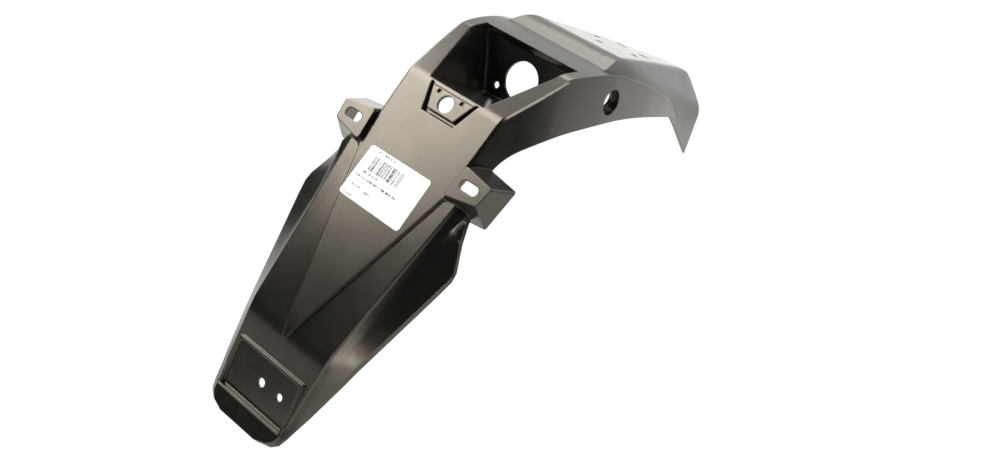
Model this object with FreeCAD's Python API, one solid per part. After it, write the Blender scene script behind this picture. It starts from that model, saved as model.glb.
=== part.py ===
import FreeCAD, Part
import math
import os

V = FreeCAD.Vector

# Main dimensions, mm and degrees: x right, y forward, z up. Places are measured from the deck's
# rear top edge, and the finished part is moved so that its origin is the centre deck hole.
WALL = 2.6
DATUM_Y = 46.0
LEAN = 21.66
PLATE_FOOT = (-160.4, -142.6)
SHOULDER_FOOT = (-131.55, -70.0)
SHOULDER_BEND = 6.0

# Number-plate face, in its own frame: x across, v up the plate, n out of it
PANEL_HALF_TOP = 48.5
PANEL_KNEE = (38.5, -36.0)
PANEL_APEX = -161.5
PANEL_BREAK = -146.0

# Tray sections: v, strip level, strip half, band half, band level, flange half, flange level
TRAY = [
    (16.0, -2.5, 61.5, 66.0, -7.7, 68.0, -15.0),
    (-4.0, -2.5, 61.3, 72.0, -7.7, 73.0, -15.5),
    (-20.0, -2.5, 59.6, 66.8, -7.7, 77.6, -17.8),
    (-41.0, -2.5, 57.6, 63.4, -7.7, 86.4, -21.0),
    (-49.0, -2.5, 56.8, 62.4, -7.7, 87.3, -21.3),
    (-62.0, -2.5, 55.6, 61.1, -7.7, 84.7, -21.3),
    (-100.0, -2.5, 52.2, 57.4, -7.8, 75.7, -21.3),
    (-150.0, -2.5, 47.6, 52.2, -8.0, 64.1, -21.4),
    (-163.0, -4.7, 46.4, 51.0, -9.8, 61.5, -21.6),
    (-172.0, -7.0, 45.6, 50.0, -11.8, 59.4, -21.7),
    (-200.0, -13.9, 43.2, 46.6, -16.4, 53.0, -22.1),
    (-213.0, -17.2, 41.8, 44.6, -19.2, 49.3, -22.4),
    (-225.0, -18.9, 40.0, 42.4, -20.2, 46.2, -22.6),
    (-233.2, -19.2, 38.0, 39.8, -20.5, 43.2, -22.8),
    (-238.2, -19.4, 33.0, 34.2, -20.7, 37.4, -22.9),
    (-241.8, -19.6, 21.4, 22.4, -20.9, 25.0, -23.0),
]
TRAY_BENDS = (1.4, 0.0, 1.8, 0.0, 0.0)

# Indicator ears, and how far the plate's holes sit off its centre line
PLATE_SHIFT = -0.8
EAR_PROUD = 4.6
EAR_DEPTH = 20.4
EAR_FRONT = [(49.9, 2.8), (81.3, 8.8), (83.9, 26.8), (52.5, 31.9)]
EAR_BACK = [(47.0, -4.5), (85.2, -0.8), (88.9, 37.7), (54.0, 42.6)]
EAR_SLOT = (66.9, 18.2)
EAR_SLOT_W = 8.5
EAR_SLOT_L = 18.1
EAR_ROUND = 2.6

# Plate-lamp seat: a raised flat inside a sunk border
SEAT_TOP = (23.6, 77.4)
SEAT_FOOT = (14.6, 56.0)
SEAT_BORDER = 3.4
SEAT_DEPTH = 4.6
SEAT_DRAFT = 1.3
SEAT_FLANK = 1.6
LAMP_V = 65.6
LAMP_HOLE = 15.0
CLIP_HOLE = 3.2
CLIP_DEPTH = 1.8
CLIP_AT = (12.9, 72.4)
SEAT_LINE = (74.9, 0.8, 0.7)

# Arch side profile, y forward and z up, and its plan
ARCH_TOP = [
    (-79.0, -27.0), (-68.0, -22.2), (-50.0, -17.6), (-20.0, -12.6), (8.0, -12.0),
    (34.0, -14.0), (60.0, -17.1), (88.0, -21.4), (111.0, -28.2), (124.5, -34.4), (137.0, -41.8),
]
ARCH_EDGE = [
    (114.0, -40.0), (60.0, -43.2), (15.0, -49.0), (-30.0, -59.2),
    (-66.0, -70.8), (-95.0, -85.6), (-112.0, -96.6), (-124.6, -112.0),
]
ARCH_PLAN = [
    (-175.0, 34.5), (-130.0, 46.6), (-80.0, 59.6), (-45.0, 64.6),
    (0.0, 65.4), (50.0, 64.4), (102.0, 61.6), (138.0, 58.2),
]
ARCH_CREASE = 1.7
ARCH_DRAFT = 0.09
SIDE_HOLE_AT = (-11.3, -35.2)
SIDE_HOLE = 13.4
SIDE_RECESS = 23.2
SIDE_RECESS_DEPTH = 5.0

# Tail-lamp recess
BACK_WALL = -48.5
RECESS_SIDE = [(30.5, -69.4), (50.0, -29.0), (52.3, -19.6)]
RECESS_ROOF = (-55.0, -19.4)
RECESS_ROOF_DROP = 6.6
RECESS_FALL = 4.4
RECESS_ROUND = 5.0
WIRE_HOLE = 35.0
WIRE_Z = -50.8
PIN_HOLE = 6.2
PIN_AT = (-22.3, -64.1)

# Deck and nose sections: y, then half width and z of top, knee, cheek and lower edge
NOSE = [
    (-45.0, 56.0, 0.0, 56.2, -11.0, 56.4, -18.0, 56.4, -18.6),
    (0.0, 50.4, 0.0, 54.6, -10.0, 57.0, -14.0, 57.0, -14.6),
    (32.0, 44.2, 0.0, 55.0, -9.0, 60.6, -15.4, 60.8, -17.0),
    (60.0, 38.8, 0.0, 53.0, -10.0, 61.4, -19.5, 61.8, -22.0),
    (100.0, 31.0, 0.0, 50.6, -15.0, 60.8, -27.0, 62.6, -33.0),
    (138.0, 23.6, -0.8, 49.4, -21.0, 60.8, -40.0, 62.4, -50.4),
    (168.0, 17.8, -1.6, 48.8, -25.6, 57.0, -46.0, 60.2, -64.7),
    (196.0, 14.4, -2.1, 48.2, -29.8, 53.2, -52.0, 58.0, -78.0),
    (230.0, 10.8, -6.0, 47.0, -35.0, 50.6, -60.0, 54.0, -94.6),
]
NOSE_TIP = [
    (211.0, 12.0), (211.0, -1.8), (211.4, -10.0), (208.8, -20.0), (204.2, -30.7),
    (191.8, -76.0), (185.6, -100.0),
]
KNEE_BEND = 9.0
DECK_BEND = 4.5
CHEEK_BEND = 8.0
RISER_RUN = 18.5
RISER_RISE = 11.0
RISER_BEND = 13.0

# Reflector pad on the tail, as (v, n) on the plate
PAD_HALF = 37.6
PAD_TOP = (-184.0, -7.6)
PAD_ROOT = (-181.4, -11.4)
PAD_FOOT = (-222.6, -21.6)
PAD_LIP = (-225.2, -17.4)
PAD_LIP_END = (-228.4, -20.4)
PAD_RIM = 1.9
PAD_RIM_PROUD = 0.9
PAD_ROUND = 5.0
PAD_WALL = 1.8
PAD_HOLE_Z = -336.2
PAD_HOLE = 7.6
PAD_PIN = 6.6
PAD_PIN_X = 22.3

# Deck fixings and label
DECK_SLOT = (13.5, 110.0)
DECK_SLOT_W = 7.5
DECK_SLOT_L = 13.0
DECK_HOLES = [(0.0, DATUM_Y), (22.5, 76.0), (-22.5, 76.0)]
DECK_HOLE = 7.0
LABEL = [(-38.2, -40.7), (32.3, -41.3), (31.9, 6.9), (-37.0, 6.5)]
LABEL_ROUND = 3.0
LABEL_THICK = 0.25

SIN = math.sin(math.radians(LEAN))
COS = math.cos(math.radians(LEAN))


def plate_point(x, v, n):
    # A point of the plate frame in the part frame
    y = PLATE_FOOT[0] + SIN * v - COS * n
    z = PLATE_FOOT[1] + COS * v + SIN * n
    return V(x, y, z)


def closed(points):
    return Part.makePolygon(points + [points[0]])


def loft(sections):
    return Part.makeLoft([closed(s) for s in sections], True, True)


def spline(points, start=None):
    # A smooth curve through the points, leaving the first along start
    curve = Part.BSplineCurve()
    if start is None:
        curve.interpolate(points)
    else:
        curve.interpolate(Points=points, InitialTangent=start, FinalTangent=points[-1].sub(points[-2]))
    return curve.toShape()


def lerp(a, b, t):
    return a.add(b.sub(a).multiply(t))


def bend(a, b, c):
    curve = Part.BezierCurve()
    curve.setPoles([a, b, c])
    return curve.toShape()


def line(a, b):
    return Part.LineSegment(a, b).toShape()


def rounded(points, legs):
    # Edges through the points, with every inner corner swung round over its leg
    edges = []
    last = points[0]
    for before, at, after, leg in zip(points[:-2], points[1:-1], points[2:], legs):
        if leg > 0:
            start = lerp(at, before, min(leg / at.distanceToPoint(before), 0.42))
            end = lerp(at, after, min(leg / at.distanceToPoint(after), 0.42))
            edges += [line(last, start), bend(start, at, end)]
            last = end
        else:
            edges.append(line(last, at))
            last = at
    edges.append(line(last, points[-1]))
    return edges


def mirrored(points):
    return [V(-p.x, p.y, p.z) for p in reversed(points)]


def section(half, legs):
    # A closed symmetric section from its right half and the legs of its corners
    path = mirrored(half) + half
    edges = rounded(path, list(reversed(legs))[1:] + list(legs)[:-1])
    edges.append(line(path[-1], path[0]))
    return Part.Wire(edges)


def plate_prism(outline, low, high):
    # An outline of (x, v) points carried along the plate's normal
    return loft([[plate_point(x, v, n) for x, v in outline] for n in (low, high)])


def plate_square(x, v, half, low, high):
    outline = [(x - half, v - half), (x + half, v - half), (x + half, v + half), (x - half, v + half)]
    return plate_prism(outline, low, high)


def plate_bar(profile, half):
    # A profile of (v, n) points carried across the plate
    return loft([[plate_point(x, v, n) for v, n in profile] for x in (-half, half)])


def across(profile, half):
    # A side profile of (y, z) points carried across the part
    face = Part.Face(closed([V(-half, y, z) for y, z in profile]))
    return face.extrude(V(2 * half, 0, 0))


def both(shape):
    return shape.fuse(shape.mirror(V(0, 0, 0), V(1, 0, 0)))


def plate_hole(x, v, dia, low=-34.0, high=10.0):
    axis = plate_point(0, 0, 1).sub(plate_point(0, 0, 0))
    return Part.makeCylinder(dia / 2, high - low, plate_point(x, v, low), axis)


def offset_profile(points, dist):
    # Shift an open profile sideways by dist, to the right of its run
    rows = []
    for (ay, az), (by, bz) in zip(points[:-1], points[1:]):
        run = math.hypot(by - ay, bz - az)
        ny, nz = (bz - az) / run * dist, -(by - ay) / run * dist
        rows.append(((ay + ny, az + nz), (by + ny, bz + nz)))
    out = [rows[0][0]]
    for (a, b), (c, d) in zip(rows[:-1], rows[1:]):
        r = (b[0] - a[0], b[1] - a[1])
        s = (d[0] - c[0], d[1] - c[1])
        den = r[0] * s[1] - r[1] * s[0]
        t = ((c[0] - a[0]) * s[1] - (c[1] - a[1]) * s[0]) / den
        out.append((a[0] + r[0] * t, a[1] + r[1] * t))
    out.append(rows[-1][1])
    return out


def tray(inset):
    # The plate face with its side flanges, or the space behind it
    sections = []
    for v, level, strip, band, band_n, flange, rim in TRAY:
        half = [
            (strip - 0.75 * inset, level - inset),
            (strip + 0.5 - 0.75 * inset, level + 0.4 * (band_n - level) - 0.9 * inset),
            (band - 0.5 * inset, band_n - 0.9 * inset),
            (flange - 1.0 - 0.75 * inset, rim + 0.3 * (band_n - rim) - 0.65 * inset),
            (flange - inset, rim - inset * 20),
        ]
        lift = inset if v < -241 else 0.0
        half = [plate_point(x, v + lift, n) for x, n in half]
        sections.append(section(half, TRAY_BENDS if inset == 0 else (0.0,) * 5))
    return Part.makeLoft(sections, True, True)


def panel(inset):
    # The raised pointed panel of the plate face
    side = [(PANEL_HALF_TOP + 0.4, 12.0), (PANEL_HALF_TOP, 0.0), PANEL_KNEE]
    half = [(x - inset * 0.9, v) for x, v in side]
    apex = PANEL_APEX + inset * 3.4
    outline = half + [(1.5, apex), (-1.5, apex)] + [(-x, v) for x, v in reversed(half)]
    body = plate_prism(outline, -12.0 - 20 * inset, -inset)
    fall = (PANEL_APEX - 10, -inset - 3.0)
    cut = [(PANEL_BREAK, 8.0), (PANEL_BREAK, -inset), fall, (PANEL_APEX - 10, 8.0)]
    return body.cut(plate_bar(cut, 60.0))


def arch_plan(inset):
    points = [(y, x - inset) for y, x in ARCH_PLAN]
    if inset:
        points.append((points[-1][0] + 30.0, points[-1][1] - 4.0))
    rings = []
    for z in (20.0, -260.0):
        grow = -ARCH_DRAFT * z
        right = [V(x + grow, y, z) for y, x in points]
        left = [V(-x - grow, y, z) for y, x in reversed(points)]
        edges = [spline(right), line(right[-1], left[0]), spline(left), line(left[-1], right[0])]
        rings.append(Part.Wire(edges))
    return Part.makeLoft(rings, True, True)


def arch_profile(inset, half):
    # Side view of the housing: plate line, shoulder, long top curve and lower edge
    run = [PLATE_FOOT, SHOULDER_FOOT] + ARCH_TOP
    if inset:
        run = offset_profile(run, inset)
    top = [V(-half, y, z) for y, z in run]
    edges = rounded(top[:3], [SHOULDER_BEND]) + [spline(top[2:], top[2].sub(top[1]))]
    if inset:
        front = run[-1]
        start = run[0]
        low = [(front[0] + 30.0, front[1] - 14.0), (front[0] + 30.0, -200.0), (-90.0, -200.0)]
        low.append((start[0] + 40.0 * COS, start[1] - 40.0 * SIN))
        chain = [top[-1]] + [V(-half, y, z) for y, z in low] + [top[0]]
        edges += [line(a, b) for a, b in zip(chain[:-1], chain[1:])]
    else:
        edge = [V(-half, y, z) for y, z in ARCH_EDGE]
        heel = V(-half, arch_heel()[0], arch_heel()[1])
        edges += [line(top[-1], edge[0]), spline(edge), line(edge[-1], heel), line(heel, top[0])]
    return Part.Face(Part.Wire(edges)).extrude(V(2 * half, 0, 0))


def arch_heel():
    return (PLATE_FOOT[0] + EAR_DEPTH * COS, PLATE_FOOT[1] - EAR_DEPTH * SIN)


def arch(inset):
    body = arch_profile(inset, 95.0).common(arch_plan(inset))
    if inset:
        return body
    low = [V(0, y, z) for y, z in (ARCH_EDGE[0], ARCH_EDGE[-1], arch_heel())]
    creases = []
    for edge in body.Edges:
        a, b = edge.Vertexes[0].Point, edge.Vertexes[-1].Point
        near = [q for q in low for p in (a, b) if math.hypot(p.y - q.y, p.z - q.z) < 0.5]
        if a.x * b.x > 0 and not near:
            creases.append(edge)
    return body.makeChamfer(ARCH_CREASE, creases)


def riser_cut(inset):
    # The space behind and above the riser, with a rounded brow and a soft foot
    slope = RISER_RISE / RISER_RUN
    drop = inset * 1.16
    a = V(-120.0, RISER_BEND, 0.3 - inset)
    b = V(-120.0, 0.0, -0.5 * (drop + inset))
    c = V(-120.0, -RISER_BEND, -RISER_BEND * slope - drop)
    foot_y = -RISER_RUN + 2.0
    foot = V(-120.0, foot_y, foot_y * slope - drop)
    if inset:
        rest = [V(-120.0, foot_y, -190.0), V(-120.0, -90.0, -190.0)]
        edges = [bend(a, b, c), line(c, foot), line(foot, rest[0])]
    else:
        crease, toe = V(-120.0, -21.0, -12.5), V(-120.0, -25.5, -13.1)
        rest = [V(-120.0, -46.0, -18.6), V(-120.0, -90.0, -30.0)]
        edges = [bend(a, b, c), line(c, foot), bend(foot, crease, toe), line(toe, rest[0])]
    top, high = V(-120.0, -90.0, 40.0), V(-120.0, RISER_BEND, 40.0)
    edges += [line(rest[0], rest[1]), line(rest[1], top), line(top, high), line(high, a)]
    return Part.Face(Part.Wire(edges)).extrude(V(240.0, 0, 0))


def nose(inset):
    rings = []
    for y, top, top_z, knee, knee_z, cheek, cheek_z, edge, edge_z in NOSE:
        shift = inset if y > 210 else 0.0
        half = [
            V(top - 0.6 * inset, y + shift, top_z - inset),
            V(knee - 0.6 * inset, y + shift, knee_z - 0.8 * inset),
            V(cheek - inset, y + shift, cheek_z),
            V(edge - inset, y + shift, edge_z),
            V(edge - inset, y + shift, edge_z - 30 * inset - 0.2),
        ]
        bends = (0.0,) * 5 if inset else (DECK_BEND, KNEE_BEND, CHEEK_BEND, 0.0, 0.0)
        rings.append(section(half, bends))
    body = Part.makeLoft(rings, True, True).cut(riser_cut(inset))
    if inset:
        return body
    front = NOSE_TIP + [(300.0, NOSE_TIP[-1][1]), (300.0, NOSE_TIP[0][1])]
    return body.cut(across(front, 120.0))


def shrink(points, d):
    cx = sum(p[0] for p in points) / 4
    cv = sum(p[1] for p in points) / 4
    return [(x + (d if x < cx else -d), v + (d if v < cv else -d)) for x, v in points]


def ear(inset):
    front = shrink(EAR_FRONT, inset)
    back = shrink(EAR_BACK, inset)
    a = [plate_point(x, v, EAR_PROUD - inset) for x, v in front]
    b = [plate_point(x, v, -EAR_DEPTH) for x, v in back]
    body = loft([a, b])
    if inset == 0:
        corners = [e for e in body.Edges if e.Length > EAR_PROUD + EAR_DEPTH - 1 and on_ear_corner(e)]
        return both(body.makeFillet(EAR_ROUND, corners))
    c = [plate_point(x, v, -EAR_DEPTH - 4.0) for x, v in back]
    low, high = front[0][1] + 1.0, front[3][1] - 1.0
    inward = [(44.0, low), (62.0, low + 1.6), (62.0, high), (44.0, high)]
    return both(body.fuse([loft([b, c]), plate_prism(inward, -EAR_DEPTH - 4.0, -2.5 - 1.2 * inset)]))


def on_ear_corner(edge):
    # Whether an edge runs from the ear's front face back to its root
    run = edge.Vertexes[1].Point.sub(edge.Vertexes[0].Point)
    axis = plate_point(0, 0, 1).sub(plate_point(0, 0, 0))
    return abs(run.dot(axis)) > 0.8 * (EAR_PROUD + EAR_DEPTH)


def slot(x, v, width, length):
    half = (length - width) / 2
    ends = [plate_hole(x + s * half, v, width) for s in (-1, 1)]
    low, high = v - width / 2, v + width / 2
    box = plate_prism([(x - half, low), (x + half, low), (x + half, high), (x - half, high)], -34.0, 10.0)
    return box.fuse(ends)


def recess(grow):
    # Tail-lamp pocket, seen from behind, stopped by the wall that carries the wiring hole
    right = [(x + grow, z) for x, z in RECESS_SIDE]
    right[0] = (right[0][0], right[0][1] - grow)
    outline = right + [(right[-1][0], 40.0)]
    full = outline + [(-x, z) for x, z in reversed(outline)]
    near = [V(x, -200.0, z + RECESS_FALL * 0.8 * (z < -60)) for x, z in full]
    far = [V(x, BACK_WALL + grow, z - RECESS_FALL * (z < -60)) for x, z in full]
    roof_y, roof_z = RECESS_ROOF
    wall = BACK_WALL + grow
    side = [
        (-220.0, -160.0), (wall, -160.0), (wall, roof_z - RECESS_ROOF_DROP + grow * 0.4),
        (roof_y + grow * 0.4, roof_z + grow), (roof_y - 8.0, 40.0), (-220.0, 40.0),
    ]
    body = loft([near, far]).common(across(side, 120.0))
    if grow:
        return body
    corners = []
    for edge in body.Edges:
        ends = [v.Point for v in edge.Vertexes]
        upright = len(ends) == 2 and abs(ends[0].z - ends[1].z) > 20 and abs(ends[0].x) > 20
        if upright and max(abs(p.y - BACK_WALL) for p in ends) < 0.5:
            corners.append(edge)
    return body.makeFillet(RECESS_ROUND, corners)


def recess_walls():
    # Floor and back wall where they hang below the arch sides
    top = arch_profile(0.0, 95.0).fuse(across([(-132, -75), (-20, -18), (-20, -110), (-132, -110)], 95.0))
    trim = across([(-131.0, -72.5), (-90, -35), (-60, -21), (-30, -19), (-30, -120), (-120, -120)], 95.0)
    return recess(WALL).common(trim).common(top)


def pad_outline(half, top, foot):
    # Plate-plane outline of the pad with its upper corners rounded
    points = [plate_point(x, v, 0) for x, v in ((-half, foot), (-half, top), (half, top), (half, foot))]
    wire = Part.Wire(rounded(points, [PAD_ROUND, PAD_ROUND]) + [line(points[-1], points[0])])
    out = plate_point(0, 0, 1).sub(plate_point(0, 0, 0))
    face = Part.Face(wire)
    face.translate(V(out).multiply(-60.0))
    return face.extrude(V(out).multiply(90.0))


def pad_pocket(grow):
    profile = [
        (PAD_TOP[0] + grow * 0.2, PAD_TOP[1] + 12.0),
        (PAD_TOP[0] + grow * 0.2, PAD_TOP[1] - grow),
        (PAD_FOOT[0], PAD_FOOT[1] - grow),
        (PAD_LIP[0] - 0.3 * grow, PAD_LIP[1] - grow),
        (PAD_LIP[0], PAD_TOP[1] + 12.0),
    ]
    return plate_bar(profile, PAD_HALF + grow).common(pad_outline(PAD_HALF + grow, PAD_TOP[0] + grow, -260.0))


def pad_block(inset):
    # Proud rim round the top and sides of the reflector pad, and its lower lip
    low = -26.0 - 10 * inset
    rim = PAD_RIM - inset
    proud = PAD_RIM_PROUD - inset
    step = [
        (PAD_ROOT[0] + rim, low), (PAD_ROOT[0] + rim, PAD_ROOT[1] - inset),
        (PAD_TOP[0] + rim, PAD_TOP[1] + proud),
        (PAD_FOOT[0], PAD_FOOT[1] + proud + 2.0), (PAD_FOOT[0], low),
    ]
    body = plate_bar(step, PAD_HALF + rim).common(pad_outline(PAD_HALF + rim, PAD_ROOT[0] + rim, -260.0))
    if inset:
        return body
    lip = [(PAD_FOOT[0], low), (PAD_FOOT[0], PAD_FOOT[1]), PAD_LIP, PAD_LIP_END, (PAD_LIP_END[0], low)]
    return body.fuse(plate_bar(lip, PAD_HALF + 0.6))


def seat_outline(grow):
    top_x, top_v = SEAT_TOP
    foot_x, foot_v = SEAT_FOOT
    edge = grow + 0.6 * (grow > 0)
    foot_x += grow
    top_x += grow
    return [(-foot_x, foot_v - edge), (foot_x, foot_v - edge), (top_x, top_v), (-top_x, top_v)]


def seat_border():
    # The sunk border, its outer walls drafted
    floor = [plate_point(x, v, -SEAT_DEPTH) for x, v in seat_outline(SEAT_BORDER - SEAT_DRAFT)]
    mouth = [plate_point(x, v, SEAT_DEPTH) for x, v in seat_outline(SEAT_BORDER + SEAT_DRAFT)]
    return loft([floor, mouth]).cut(plate_prism(seat_outline(0.0), -9.0, 8.0))


def side_cylinder(dia, x0, x1):
    y, z = SIDE_HOLE_AT
    return both(Part.makeCylinder(dia / 2, x1 - x0, V(x0, y, z), V(1, 0, 0)))


def side_wall_x():
    # Outer half width of the arch at the side hole
    y, z = SIDE_HOLE_AT
    for (ay, ax), (by, bx) in zip(ARCH_PLAN[:-1], ARCH_PLAN[1:]):
        if ay <= y < by:
            return ax + (bx - ax) * (y - ay) / (by - ay) - ARCH_DRAFT * z


def deck_tool():
    cuts = []
    sx, sy = DECK_SLOT
    half = (DECK_SLOT_L - DECK_SLOT_W) / 2
    for side in (-1, 1):
        for end in (-1, 1):
            cuts.append(Part.makeCylinder(DECK_SLOT_W / 2, 20, V(side * sx + end * half, sy, -15)))
        cuts.append(Part.makeBox(2 * half, DECK_SLOT_W, 20, V(side * sx - half, sy - DECK_SLOT_W / 2, -15)))
    for x, y in DECK_HOLES:
        cuts.append(Part.makeCylinder(DECK_HOLE / 2, 20, V(x, y, -15)))
    return cuts


def fender():
    wall_x = side_wall_x()
    outer = tray(0.0).fuse([panel(0.0), arch(0.0), nose(0.0), ear(0.0), pad_block(0.0), recess_walls()])
    inner = tray(WALL).fuse([panel(WALL), arch(WALL), nose(WALL), ear(WALL), pad_block(WALL)])
    boss = side_cylinder(SIDE_RECESS + 2 * WALL, wall_x - SIDE_RECESS_DEPTH - WALL, wall_x + 2)
    backing = plate_prism(seat_outline(SEAT_BORDER + WALL), -SEAT_DEPTH - WALL, 0.0)
    core = plate_prism(seat_outline(-SEAT_FLANK), -20.0, -WALL)
    inner = inner.cut([recess(WALL), pad_pocket(PAD_WALL), boss, backing])
    cuts = [recess(0.0), pad_pocket(0.0), seat_border(), core]
    cuts.append(side_cylinder(SIDE_RECESS, wall_x - SIDE_RECESS_DEPTH, wall_x + 12))
    cuts.append(side_cylinder(SIDE_HOLE, wall_x - 20, wall_x + 12))
    cuts.append(Part.makeCylinder(WIRE_HOLE / 2, 20, V(0, BACK_WALL - 8, WIRE_Z), V(0, 1, 0)))
    cuts.append(Part.makeCylinder(PIN_HOLE / 2, 20, V(PIN_AT[0], BACK_WALL - 8, PIN_AT[1]), V(0, 1, 0)))
    low, width, depth = SEAT_LINE
    groove = [(low, -depth), (low + width, -depth), (low + width, 6.0), (low, 6.0)]
    cuts.append(plate_bar(groove, SEAT_TOP[0]))
    cuts.append(plate_hole(PLATE_SHIFT, LAMP_V, LAMP_HOLE))
    for side in (-1, 1):
        cuts.append(slot(side * EAR_SLOT[0] + PLATE_SHIFT, EAR_SLOT[1], EAR_SLOT_W, EAR_SLOT_L))
        clip_x = side * CLIP_AT[0] + PLATE_SHIFT
        cuts.append(plate_square(clip_x, CLIP_AT[1], CLIP_HOLE / 2, -CLIP_DEPTH, 6.0))
    cuts.append(Part.makeCylinder(PAD_HOLE / 2, 40, V(0, -240, PAD_HOLE_Z), V(0, 1, 0)))
    cuts.append(Part.makeCylinder(PAD_PIN / 2, 40, V(PAD_PIN_X, -240, PAD_HOLE_Z), V(0, 1, 0)))
    cuts += deck_tool()
    body = outer.cut(inner).cut(cuts)
    body.translate(V(0, -DATUM_Y, 0))
    return body


def label():
    sheet = plate_prism(LABEL, 0.0, LABEL_THICK)
    sheet.translate(V(0, -DATUM_Y, 0))
    corners = [e for e in sheet.Edges if abs(e.Length - LABEL_THICK) < 0.01]
    return sheet.makeFillet(LABEL_ROUND, corners)


os.makedirs("parts", exist_ok=True)
shape = fender()
shape.exportStep("parts/fender.step")
shape = label()
shape.exportStep("parts/label.step")
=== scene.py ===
import math

import bmesh
import bpy
from mathutils import Euler, Matrix, Vector


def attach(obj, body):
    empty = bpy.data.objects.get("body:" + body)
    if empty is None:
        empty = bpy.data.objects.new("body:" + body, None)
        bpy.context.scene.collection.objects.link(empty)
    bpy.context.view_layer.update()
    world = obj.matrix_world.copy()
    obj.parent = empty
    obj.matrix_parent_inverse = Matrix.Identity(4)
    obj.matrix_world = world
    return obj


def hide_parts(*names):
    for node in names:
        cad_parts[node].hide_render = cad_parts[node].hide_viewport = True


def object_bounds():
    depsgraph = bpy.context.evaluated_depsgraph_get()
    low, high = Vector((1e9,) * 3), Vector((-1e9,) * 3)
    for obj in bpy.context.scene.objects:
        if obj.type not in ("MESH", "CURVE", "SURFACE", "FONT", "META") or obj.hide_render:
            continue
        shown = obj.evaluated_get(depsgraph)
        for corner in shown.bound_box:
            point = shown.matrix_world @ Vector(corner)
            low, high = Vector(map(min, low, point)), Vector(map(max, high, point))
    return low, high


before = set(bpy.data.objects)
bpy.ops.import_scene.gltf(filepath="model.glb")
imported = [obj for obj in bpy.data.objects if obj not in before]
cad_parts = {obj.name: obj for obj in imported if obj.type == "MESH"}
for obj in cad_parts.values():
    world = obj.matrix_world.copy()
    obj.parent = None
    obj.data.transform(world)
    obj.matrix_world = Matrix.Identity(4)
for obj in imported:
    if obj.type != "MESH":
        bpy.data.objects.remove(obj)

bl_info = {
    "name": "Motorcycle Rear Fender",
    "version": (1, 0, 0),
    "blender": (4, 5, 0),
    "location": "View3D > Sidebar > Fender",
    "description": "Dresses a moulded rear fender and sets its studio",
    "category": "Object",
}

CAD_BOX = [list(corner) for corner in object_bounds()]
MM = 0.001

# How close two corners of the CAD mesh are welded, and the bend in degrees that still counts as flat
WELD = 0.004 * MM
FLAT_BEND = 0.8

# The number plate's face: its foot point in metres and its lean in degrees
PLATE_FOOT = Vector((0.0, -0.2064, -0.1426))
PLATE_LEAN = 21.66

# Rows of dashes on the label, in mm on the plate: foot, top, left, right, dash width, seed, share inked
PRINT_ROWS = (
    (3.4, 4.9, -26.6, 0.0, 1.3, 11.0, 0.5),
    (-16.9, -15.2, -29.4, -10.6, 1.2, 23.0, 0.62),
    (-21.9, -20.1, -33.4, 12.4, 1.2, 37.0, 0.6),
    (-30.2, -28.7, -31.4, -21.9, 1.4, 51.0, 0.55),
    (-31.4, -29.6, -16.5, -8.5, 1.3, 79.0, 0.5),
    (-39.2, -37.6, -34.1, -23.8, 1.3, 67.0, 0.5),
)
# The block of bars: foot, top, left, right, seed, share inked
PRINT_BARS = (-13.4, -0.2, -27.6, 8.0, 3.0, 0.56)

# The stage, in metres: the point that the lamps aim at, the floor, the cards and the drapes
AIM = Vector((0.0, -0.2, -0.12))
FLOOR_HALF = 12.0
CARD_LIFT = 0.01
DRAPE_REACH = 3.4
DRAPE_HEAD = [(DRAPE_REACH, 1.0), (2.6, 2.6), (1.1, 3.4)]
DRAPE_COLUMNS = 24

# How bright the floor's white is and its share over the paint, and how strongly the world lights
FLOOR_WHITE = 1.16
FLOOR_WHITE_SHARE = 0.85
WORLD_LIGHT = 0.35

# Soft lamps: name, turn and height in degrees, reach in metres, width and length in metres,
# roll in degrees, share of the big softbox's power
LAMPS = (
    ("softbox_key", -113, 35, 2.0, (2.3, 1.22), -4, 1.0),
    ("softbox_over", -42, 62, 1.7, (0.8, 1.1), 0, 0.11),
    ("softbox_back", -36, 9, 2.6, (1.5, 0.6), 0, 0.038),
    ("strip_right", 110, 55, 1.8, (0.8, 0.3), 0, 0.08),
    ("reflector_nose", 18, -3, 2.4, (0.5, 0.5), 0, 0.0115),
    ("reflector_right", 134, -3, 2.2, (0.34, 0.6), 0, 0.06),
)
LAMP_COLOUR = "#fffdfa"

# The camera: its place in metres, its turn in degrees, its lens and sensor in mm
CAMERA_PLACE = (0.5584, -0.9589, 0.1032)
CAMERA_TURN = (73.4676, -23.2519, 37.6536)
CAMERA_LENS = 43.2
CAMERA_SENSOR = 36.0


def linear(hex_colour):
    """An sRGB hex colour as a linear RGBA tuple."""
    value = hex_colour.lstrip("#")
    channels = [int(value[i:i + 2], 16) / 255.0 for i in (0, 2, 4)]
    out = [c / 12.92 if c <= 0.04045 else ((c + 0.055) / 1.055) ** 2.4 for c in channels]
    return (out[0], out[1], out[2], 1.0)


def add(tree, kind, settings=None, values=None, links=None):
    """A node with its settings, its input values and its incoming links."""
    node = tree.nodes.new(kind)
    for key, value in (settings or {}).items():
        setattr(node, key, value)
    for key, value in (values or {}).items():
        node.inputs[key].default_value = value
    for key, socket in (links or {}).items():
        tree.links.new(socket, node.inputs[key])
    return node


def new_material(name):
    """An empty material of that name, and its node tree."""
    material = bpy.data.materials.new(name)
    material.use_nodes = True
    material.node_tree.nodes.clear()
    return material, material.node_tree


def seen_rays(tree):
    """1 for rays that the eye, a reflection or glass sees, and 0 for rays that only carry light."""
    path = add(tree, "ShaderNodeLightPath")
    seen = path.outputs["Is Camera Ray"]
    for ray in ("Is Glossy Ray", "Is Transmission Ray"):
        seen = add(tree, "ShaderNodeMath", {"operation": "MAXIMUM"},
                   links={0: seen, 1: path.outputs[ray]}).outputs[0]
    return seen


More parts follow.
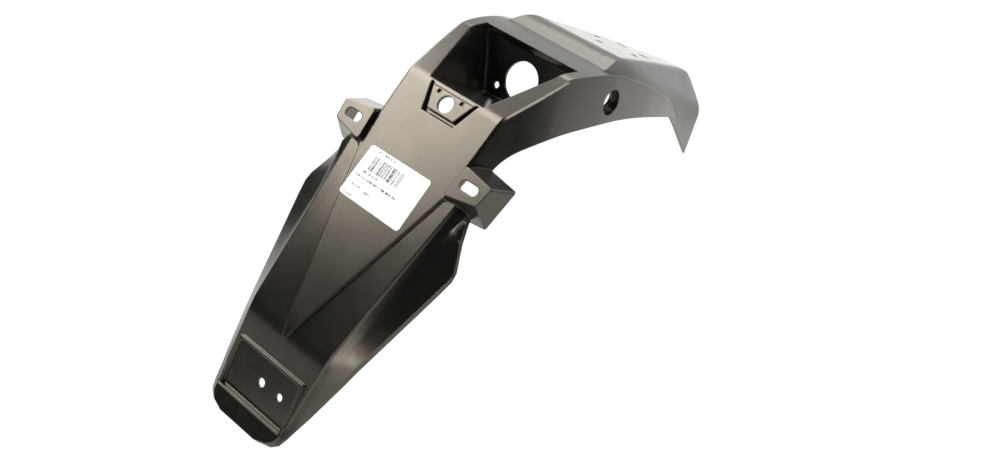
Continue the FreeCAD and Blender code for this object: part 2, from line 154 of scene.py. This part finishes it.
def plate_coordinates(tree):
    """Object coordinates turned so that X runs across the plate, Z up it and Y into it."""
    place = add(tree, "ShaderNodeTexCoord").outputs["Object"]
    shift = add(tree, "ShaderNodeVectorMath", {"operation": "SUBTRACT"}, {1: PLATE_FOOT}, {0: place})
    turn = (math.radians(PLATE_LEAN), 0.0, 0.0)
    return add(tree, "ShaderNodeMapping", {"vector_type": "POINT"}, {"Rotation": turn},
               {"Vector": shift.outputs[0]})


class FenderPlasticSettings(bpy.types.PropertyGroup):
    colour: bpy.props.FloatVectorProperty(
        name="Plastic colour", description="Body colour of the moulded polypropylene",
        subtype="COLOR", size=4, min=0.0, max=1.0, default=linear("#151412"))
    grain: bpy.props.FloatProperty(
        name="Grain", description="Width of one grain of the spark-eroded mould surface",
        unit="LENGTH", default=0.55 * MM, min=0.1 * MM, max=5 * MM)
    edge: bpy.props.FloatProperty(
        name="Edge radius", description="Rounding of the moulding's outer edges",
        unit="LENGTH", default=1.4 * MM, min=0.1 * MM, max=5 * MM)
    crease: bpy.props.FloatProperty(
        name="Crease angle", description="Angle between faces above which an edge stays sharp",
        subtype="ANGLE", default=math.radians(20), min=0.0, max=math.pi)
    roughness: bpy.props.FloatProperty(
        name="Roughness", description="Mean roughness of the satin mould finish",
        subtype="FACTOR", default=0.23, min=0.0, max=1.0)


class FenderLabelSettings(bpy.types.PropertyGroup):
    paper: bpy.props.FloatVectorProperty(
        name="Paper colour", description="Coated label paper",
        subtype="COLOR", size=4, min=0.0, max=1.0, default=linear("#eff2f6"))
    ink: bpy.props.FloatVectorProperty(
        name="Ink colour", description="Worn thermal ink",
        subtype="COLOR", size=4, min=0.0, max=1.0, default=linear("#2b2a27"))
    bar: bpy.props.FloatProperty(
        name="Bar width", description="Width of one narrow bar of the pattern",
        unit="LENGTH", default=0.62 * MM, min=0.1 * MM, max=3 * MM)


class FenderStageSettings(bpy.types.PropertyGroup):
    floor_colour: bpy.props.FloatVectorProperty(
        name="Floor colour", description="Pale studio floor",
        subtype="COLOR", size=4, min=0.0, max=1.0, default=linear("#f4f4f2"))
    floor_gap: bpy.props.FloatProperty(
        name="Floor gap", description="Clear height between the floor and the lowest edge",
        unit="LENGTH", default=0.30, min=0.0, max=2.0)
    softbox: bpy.props.FloatProperty(
        name="Softbox power", description="Power of the big overhead softbox in watts",
        unit="POWER", default=66.0, min=0.0, max=2000.0)


def merged_copy(node, name, crease):
    """A welded smooth copy of a CAD node, with its flat stretches joined to single faces,
    sharp where two faces meet over the crease angle."""
    mesh = bpy.data.meshes.new(name)
    shell = bmesh.new()
    shell.from_mesh(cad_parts[node].data)
    bmesh.ops.remove_doubles(shell, verts=shell.verts, dist=WELD)
    bend = math.radians(FLAT_BEND)
    bmesh.ops.dissolve_limit(shell, angle_limit=bend, verts=shell.verts, edges=shell.edges)
    for face in shell.faces:
        face.smooth = True
    for edge in shell.edges:
        edge.smooth = len(edge.link_faces) == 2 and edge.calc_face_angle(math.pi) < crease
    shell.to_mesh(mesh)
    shell.free()
    piece = bpy.data.objects.new(name, mesh)
    bpy.context.scene.collection.objects.link(piece)
    return piece


def moulded_polypropylene(settings):
    """Injection-moulded polypropylene: a near-black satin skin whose broad soft sheen
    comes from a spark-eroded mould, with a faint unevenness and a little dust."""
    material, tree = new_material("moulded_polypropylene")
    place = add(tree, "ShaderNodeTexCoord").outputs["Object"]
    # The real grain is about 0.1 mm, and it is drawn several times coarser so that it shows
    grain = add(tree, "ShaderNodeTexNoise",
                values={"Scale": 1.0 / settings.grain, "Detail": 2.0, "Roughness": 0.5},
                links={"Vector": place})
    flow = add(tree, "ShaderNodeTexNoise",
               values={"Scale": 1.0 / (45 * MM), "Detail": 3.0, "Roughness": 0.55},
               links={"Vector": place})
    handling = add(tree, "ShaderNodeTexNoise",
                   values={"Scale": 1.0 / (14 * MM), "Detail": 2.0, "Roughness": 0.5},
                   links={"Vector": place})

    # Pale dust specks just under 1 mm wide, drawn larger than real ones, in some cells of 14 mm
    dust = add(tree, "ShaderNodeTexVoronoi", {"feature": "F1"},
               {"Scale": 1.0 / (14 * MM), "Randomness": 1.0}, {"Vector": place})
    speck = add(tree, "ShaderNodeMapRange",
                values={"From Min": 0.022, "From Max": 0.032, "To Min": 1.0, "To Max": 0.0},
                links={"Value": dust.outputs["Distance"]})
    chance = add(tree, "ShaderNodeMath", {"operation": "GREATER_THAN"}, {1: 0.72},
                 {0: dust.outputs["Color"]})
    specks = add(tree, "ShaderNodeMath", {"operation": "MULTIPLY"},
                 links={0: speck.outputs["Result"], 1: chance.outputs[0]})
    dusty = add(tree, "ShaderNodeMath", {"operation": "MULTIPLY"}, {1: 0.35}, {0: specks.outputs[0]})

    shade = add(tree, "ShaderNodeMapRange", values={"From Min": 0.3, "From Max": 0.7},
                links={"Value": flow.outputs["Fac"]})
    tone = add(tree, "ShaderNodeMix", {"data_type": "RGBA"},
               {6: linear("#11100f"), 7: tuple(settings.colour)}, {0: shade.outputs["Result"]})
    skin = add(tree, "ShaderNodeMix", {"data_type": "RGBA"}, {7: linear("#8d8a82")},
               {0: dusty.outputs[0], 6: tone.outputs[2]})
    smear = add(tree, "ShaderNodeMapRange",
                values={"From Min": 0.3, "From Max": 0.7,
                        "To Min": settings.roughness - 0.015, "To Max": settings.roughness + 0.02},
                links={"Value": handling.outputs["Fac"]})

    edge = add(tree, "ShaderNodeBevel", {"samples": 6}, {"Radius": settings.edge})
    fine = add(tree, "ShaderNodeBump", values={"Strength": 0.02, "Distance": 0.02 * MM},
               links={"Height": grain.outputs["Fac"], "Normal": edge.outputs["Normal"]})
    sink = add(tree, "ShaderNodeBump", values={"Strength": 0.05, "Distance": 0.05 * MM},
               links={"Height": flow.outputs["Fac"], "Normal": fine.outputs["Normal"]})
    surface = add(tree, "ShaderNodeBsdfPrincipled",
                  values={"IOR": 1.5, "Specular IOR Level": 1.0, "Specular Tint": linear("#fff4e2")},
                  links={"Base Color": skin.outputs[2], "Roughness": smear.outputs[0],
                         "Normal": sink.outputs["Normal"]})
    add(tree, "ShaderNodeOutputMaterial", links={"Surface": surface.outputs["BSDF"]})
    return material


def inked_cells(tree, across, up, cell, seed, share, span, rise):
    """Upright cells inked at random inside a rectangle of the plate. The cell's width is in metres,
    and the rectangle's span and rise are in mm."""
    count = add(tree, "ShaderNodeMath", {"operation": "DIVIDE"}, {1: cell}, {0: across})
    index = add(tree, "ShaderNodeMath", {"operation": "FLOOR"}, links={0: count.outputs[0]})
    moved = add(tree, "ShaderNodeMath", {"operation": "ADD"}, {1: seed}, {0: index.outputs[0]})
    noise = add(tree, "ShaderNodeTexWhiteNoise", {"noise_dimensions": "1D"}, links={"W": moved.outputs[0]})
    ink = add(tree, "ShaderNodeMath", {"operation": "LESS_THAN"}, {1: share}, {0: noise.outputs["Value"]})
    for axis, (low, high) in ((across, span), (up, rise)):
        for test, limit in (("GREATER_THAN", low), ("LESS_THAN", high)):
            inside = add(tree, "ShaderNodeMath", {"operation": test}, {1: limit * MM}, {0: axis})
            ink = add(tree, "ShaderNodeMath", {"operation": "MULTIPLY"},
                      links={0: ink.outputs[0], 1: inside.outputs[0]})
    return ink


def label_paper(settings):
    """Coated label paper: bright and matt, with a block of thin worn bars and faint
    dashes of ink that carry no words or numbers."""
    material, tree = new_material("coated_label_paper")
    flat = plate_coordinates(tree)
    parts = add(tree, "ShaderNodeSeparateXYZ", links={0: flat.outputs[0]})
    across, up = parts.outputs[0], parts.outputs[2]

    low, high, left, right, seed, share = PRINT_BARS
    marks = inked_cells(tree, across, up, settings.bar, seed, share, (left, right), (low, high))
    for low, high, left, right, dash, seed, share in PRINT_ROWS:
        row = inked_cells(tree, across, up, dash * MM, seed, share, (left, right), (low, high))
        marks = add(tree, "ShaderNodeMath", {"operation": "MAXIMUM"},
                    links={0: marks.outputs[0], 1: row.outputs[0]})

    wear = add(tree, "ShaderNodeTexNoise",
               values={"Scale": 1.0 / (2.2 * MM), "Detail": 4.0, "Roughness": 0.7},
               links={"Vector": flat.outputs[0]})
    worn = add(tree, "ShaderNodeMapRange",
               values={"From Min": 0.36, "From Max": 0.62, "To Min": 0.35, "To Max": 1.0},
               links={"Value": wear.outputs["Fac"]})
    ink = add(tree, "ShaderNodeMath", {"operation": "MULTIPLY"},
              links={0: marks.outputs[0], 1: worn.outputs[0]})
    colour = add(tree, "ShaderNodeMix", {"data_type": "RGBA"},
                 {6: tuple(settings.paper), 7: tuple(settings.ink)}, {0: ink.outputs[0]})
    # Paper fibres are finer than this, and they are drawn coarser so that they show
    fibre = add(tree, "ShaderNodeTexNoise", values={"Scale": 1.0 / (0.8 * MM), "Detail": 3.0},
                links={"Vector": flat.outputs[0]})
    bump = add(tree, "ShaderNodeBump", values={"Strength": 0.15, "Distance": 0.04 * MM},
               links={"Height": fibre.outputs["Fac"]})
    surface = add(tree, "ShaderNodeBsdfPrincipled", values={"Roughness": 0.55, "IOR": 1.45},
                  links={"Base Color": colour.outputs[2], "Normal": bump.outputs["Normal"]})
    add(tree, "ShaderNodeOutputMaterial", links={"Surface": surface.outputs["BSDF"]})
    return material


def painted_floor(settings):
    """White studio paint: matt under the fender, and even white to the eye and in reflections,
    with a share of the paint left in it for the shadow."""
    material, tree = new_material("painted_floor")
    paint = add(tree, "ShaderNodeBsdfDiffuse", values={"Color": tuple(settings.floor_colour)})
    share = add(tree, "ShaderNodeMath", {"operation": "MULTIPLY"}, {1: FLOOR_WHITE_SHARE},
                {0: seen_rays(tree)})
    glow = add(tree, "ShaderNodeEmission", values={"Color": (1, 1, 1, 1), "Strength": FLOOR_WHITE})
    both = add(tree, "ShaderNodeMixShader",
               links={0: share.outputs[0], 1: paint.outputs[0], 2: glow.outputs[0]})
    add(tree, "ShaderNodeOutputMaterial", links={"Surface": both.outputs[0]})
    return material


def black_molton():
    """Napped black cotton: it swallows nearly all light, so a reflection of it reads as black."""
    material, tree = new_material("black_molton")
    black = add(tree, "ShaderNodeBsdfDiffuse", values={"Color": linear("#141414")})
    add(tree, "ShaderNodeOutputMaterial", links={"Surface": black.outputs[0]})
    return material


def white_studio():
    """A world that is white to the eye and in reflections, and softer as a light."""
    world = bpy.data.worlds.new("studio")
    world.use_nodes = True
    tree = world.node_tree
    tree.nodes.clear()
    level = add(tree, "ShaderNodeMapRange", values={"To Min": WORLD_LIGHT, "To Max": 1.0},
                links={"Value": seen_rays(tree)})
    sky = add(tree, "ShaderNodeBackground", values={"Color": (1, 1, 1, 1)},
              links={"Strength": level.outputs[0]})
    add(tree, "ShaderNodeOutputWorld", links={"Surface": sky.outputs[0]})
    return world


class FENDER_OT_moulding(bpy.types.Operator):
    """Makes the one-piece moulding: plate face, ears, lamp recess, deck and nose"""
    bl_idname = "fender.moulding"
    bl_label = "Moulding"

    def execute(self, context):
        settings = context.scene.fender_plastic
        piece = merged_copy("fender", "fender_moulding", settings.crease)
        shading = piece.modifiers.new("face_weighting", "WEIGHTED_NORMAL")
        shading.mode = "FACE_AREA_WITH_ANGLE"
        shading.weight = 100
        shading.keep_sharp = True
        piece.data.materials.append(moulded_polypropylene(settings))
        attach(piece, "root")
        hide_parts("fender")
        return {"FINISHED"}


class FENDER_OT_label(bpy.types.Operator):
    """Gives the paper label its worn bars and dashes"""
    bl_idname = "fender.label"
    bl_label = "Label"

    def execute(self, context):
        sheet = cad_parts["label"]
        paper = label_paper(context.scene.fender_label)
        if sheet.data.materials:
            for slot in sheet.material_slots:
                slot.material = paper
        else:
            sheet.data.materials.append(paper)
        return {"FINISHED"}


def seen_from(turn, height, reach):
    """A point that far from the fender, turn degrees clockwise from ahead and so high in degrees."""
    turn, height = math.radians(turn), math.radians(height)
    level = math.cos(height)
    return AIM + reach * Vector((math.sin(turn) * level, math.cos(turn) * level, math.sin(height)))


def area_light(name, place, size, roll, power):
    """A rectangular softbox aimed at the fender and rolled about its own axis, in degrees."""
    lamp = bpy.data.lights.new(name, "AREA")
    lamp.shape = "RECTANGLE"
    lamp.size, lamp.size_y = size
    lamp.energy = power
    lamp.color = linear(LAMP_COLOUR)[:3]
    holder = bpy.data.objects.new(name, lamp)
    holder.location = place
    facing = (AIM - place).to_track_quat("-Z", "Y").to_matrix()
    holder.rotation_euler = (facing @ Matrix.Rotation(math.radians(roll), 3, "Z")).to_euler()
    holder.visible_camera = False
    bpy.context.scene.collection.objects.link(holder)


def dark_drape(name, cloth, turns, profile):
    """A black drape or card round one side, which only reflections see, as a studio's flag.
    Its profile of reach and level in metres is swept round the fender."""
    points = []
    for reach, level in profile:
        for column in range(DRAPE_COLUMNS + 1):
            turn = math.radians(turns[0] + (turns[1] - turns[0]) * column / DRAPE_COLUMNS)
            points.append((AIM.x + reach * math.sin(turn), AIM.y + reach * math.cos(turn), level))
    width = DRAPE_COLUMNS + 1
    faces = []
    for row in range(len(profile) - 1):
        for column in range(DRAPE_COLUMNS):
            corner = row * width + column
            faces.append((corner, corner + 1, corner + width + 1, corner + width))
    mesh = bpy.data.meshes.new(name)
    mesh.from_pydata(points, [], faces)
    mesh.materials.append(cloth)
    drape = bpy.data.objects.new(name, mesh)
    drape.visible_camera = False
    drape.visible_diffuse = False
    drape.visible_transmission = False
    drape.visible_shadow = False
    bpy.context.scene.collection.objects.link(drape)


class FENDER_OT_stage(bpy.types.Operator):
    """Sets the pale floor, the white surroundings, the lamps and the camera"""
    bl_idname = "fender.stage"
    bl_label = "Stage"

    def execute(self, context):
        settings = context.scene.fender_stage
        scene = context.scene
        low = CAD_BOX[0][2] - settings.floor_gap
        half = FLOOR_HALF
        mesh = bpy.data.meshes.new("floor")
        corners = [(-half, -half, low), (half, -half, low), (half, half, low), (-half, half, low)]
        mesh.from_pydata(corners, [], [(0, 1, 2, 3)])
        mesh.materials.append(painted_floor(settings))
        floor = bpy.data.objects.new("floor", mesh)
        scene.collection.objects.link(floor)
        scene.world = white_studio()

        for name, turn, height, reach, size, roll, share in LAMPS:
            area_light(name, seen_from(turn, height, reach), size, roll, share * settings.softbox)

        cloth = black_molton()
        card = low + CARD_LIFT
        for name, turns, profile in (
                ("drape_front", (-158, -218), [(1.5, card), (DRAPE_REACH, card)] + DRAPE_HEAD),
                ("card_corner", (-128, -158), [(0.7, card), (1.45, card)]),
                ("card_far", (-88, -158), [(2.3, card), (3.38, card)]),
                ("drape_corner", (-138, -158), [(DRAPE_REACH, card)] + DRAPE_HEAD),
                ("drape_right", (-218, -262), [(DRAPE_REACH, -0.2)] + DRAPE_HEAD),
                ("drape_side", (-262, -304), [(DRAPE_REACH, card), (DRAPE_REACH, 0.9)]),
                ("drape_left", (-88, -138), [(DRAPE_REACH, card), (DRAPE_REACH, 1.1)])):
            dark_drape(name, cloth, turns, profile)

        lens = bpy.data.cameras.new("camera")
        lens.sensor_fit = "HORIZONTAL"
        lens.sensor_width = CAMERA_SENSOR
        lens.lens = CAMERA_LENS
        lens.clip_end = 50.0
        camera = bpy.data.objects.new("camera", lens)
        camera.location = CAMERA_PLACE
        camera.rotation_euler = Euler([math.radians(angle) for angle in CAMERA_TURN], "XYZ")
        scene.collection.objects.link(camera)
        scene.camera = camera
        scene.view_settings.view_transform = "Standard"
        return {"FINISHED"}


class FENDER_PT_panel(bpy.types.Panel):
    """Lists each group of sizes and colours above the button that builds from it"""
    bl_label = "Rear fender"
    bl_idname = "FENDER_PT_panel"
    bl_space_type = "VIEW_3D"
    bl_region_type = "UI"
    bl_category = "Fender"

    def draw(self, context):
        layout = self.layout
        for group, operator in (("fender_plastic", "fender.moulding"), ("fender_label", "fender.label"),
                                ("fender_stage", "fender.stage")):
            settings = getattr(context.scene, group)
            column = layout.column(align=True)
            for key in settings.__annotations__:
                column.prop(settings, key)
            column.operator(operator)


CLASSES = (FenderPlasticSettings, FenderLabelSettings, FenderStageSettings,
           FENDER_OT_moulding, FENDER_OT_label, FENDER_OT_stage, FENDER_PT_panel)


def register():
    for item in CLASSES:
        bpy.utils.register_class(item)
    bpy.types.Scene.fender_plastic = bpy.props.PointerProperty(type=FenderPlasticSettings)
    bpy.types.Scene.fender_label = bpy.props.PointerProperty(type=FenderLabelSettings)
    bpy.types.Scene.fender_stage = bpy.props.PointerProperty(type=FenderStageSettings)


def unregister():
    del bpy.types.Scene.fender_stage
    del bpy.types.Scene.fender_label
    del bpy.types.Scene.fender_plastic
    for item in reversed(CLASSES):
        bpy.utils.unregister_class(item)


def main():
    register()
    bpy.ops.fender.moulding()
    bpy.ops.fender.label()
    bpy.ops.fender.stage()


if __name__ == "__main__":
    main()
